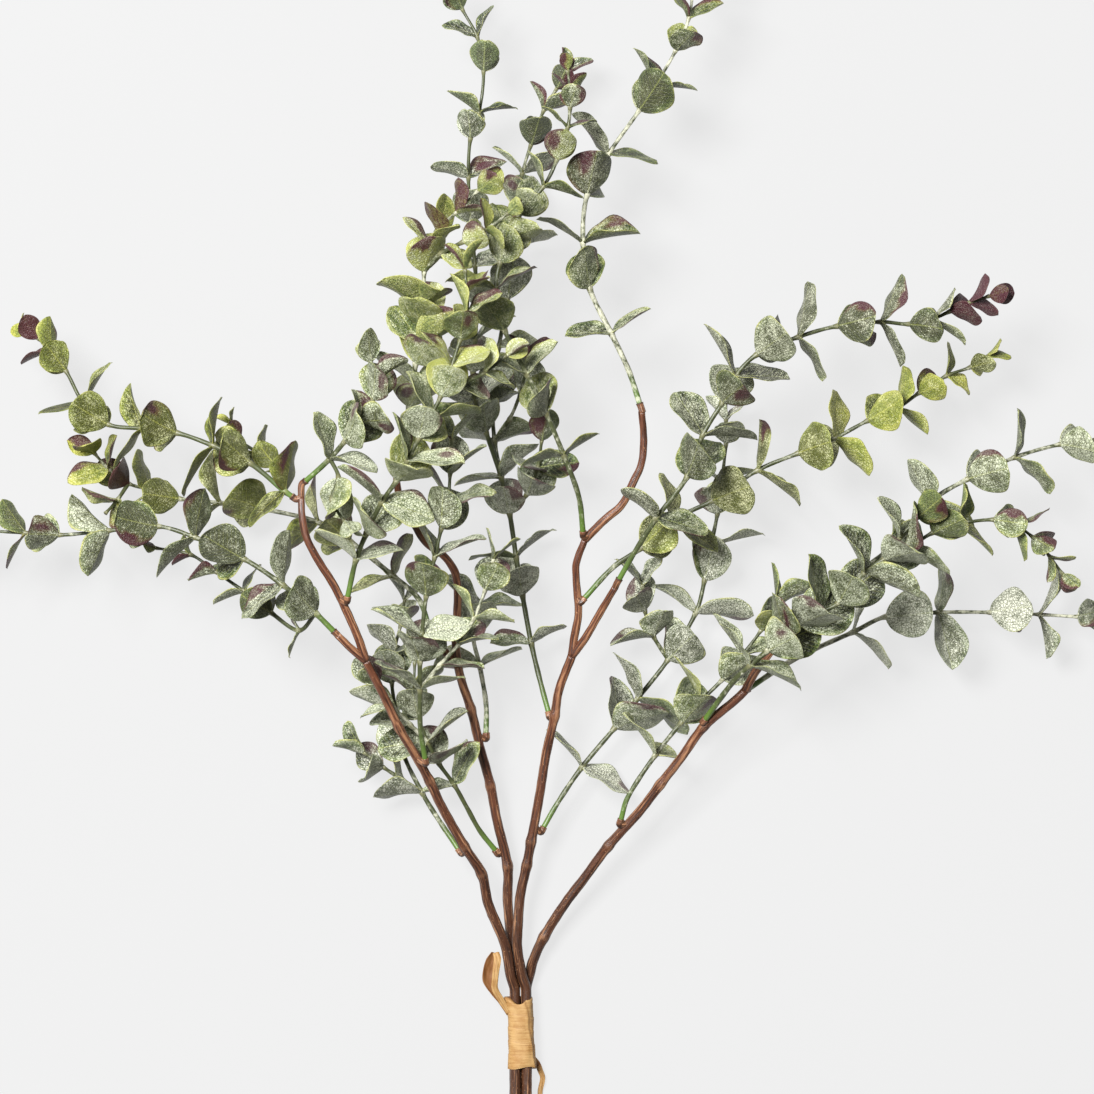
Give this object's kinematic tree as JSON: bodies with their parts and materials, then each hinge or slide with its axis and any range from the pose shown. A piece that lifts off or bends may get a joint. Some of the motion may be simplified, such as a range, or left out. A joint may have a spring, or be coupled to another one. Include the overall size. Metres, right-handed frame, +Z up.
{
  "type": "eucalyptus branch",
  "caption": "Tied bundle of forked woody eucalyptus stems with round-leaved green sprays, laid flat, bound with raffia near the cut ends.",
  "frame": {"origin": "on the surface it lies on, under the middle of the raffia tie", "axes": "+Y from the cut stem ends along the bundle to the leafy tips, +Z up from the surface, +X to the right as seen from above"},
  "size_m": [0.5844, 0.5993, 0.1112],
  "materials": {
    "brown_bark": "satin",
    "raffia": "matte",
    "leaf_sage": "matte",
    "leaf_bright": "matte",
    "leaf_dark": "matte",
    "leaf_frosted": "matte"
  },
  "bodies": {
    "root": {"raffia_tie": "raffia", "spray_back_low": "leaf_frosted", "spray_back_mid": "leaf_sage", "spray_back_short": "leaf_frosted", "spray_back_tall": "leaf_frosted", "spray_centre_front": "leaf_sage", "spray_crown_dark": "leaf_dark", "spray_crown_left": "leaf_sage", "spray_far_right_high": "leaf_sage", "spray_far_right_low": "leaf_frosted", "spray_fork_short": "leaf_sage", "spray_front_low": "leaf_sage", "spray_left_crown": "leaf_sage", "spray_left_high": "leaf_bright", "spray_left_low": "leaf_sage", "spray_left_middle": "leaf_bright", "spray_right_bright": "leaf_bright", "spray_right_front": "leaf_sage", "spray_right_high": "leaf_dark", "spray_right_low": "leaf_frosted", "spray_top_right": "leaf_dark", "stem_left": "brown_bark", "stem_middle_left": "brown_bark", "stem_middle_right": "brown_bark", "stem_right": "brown_bark"}
  },
  "joints": []
}
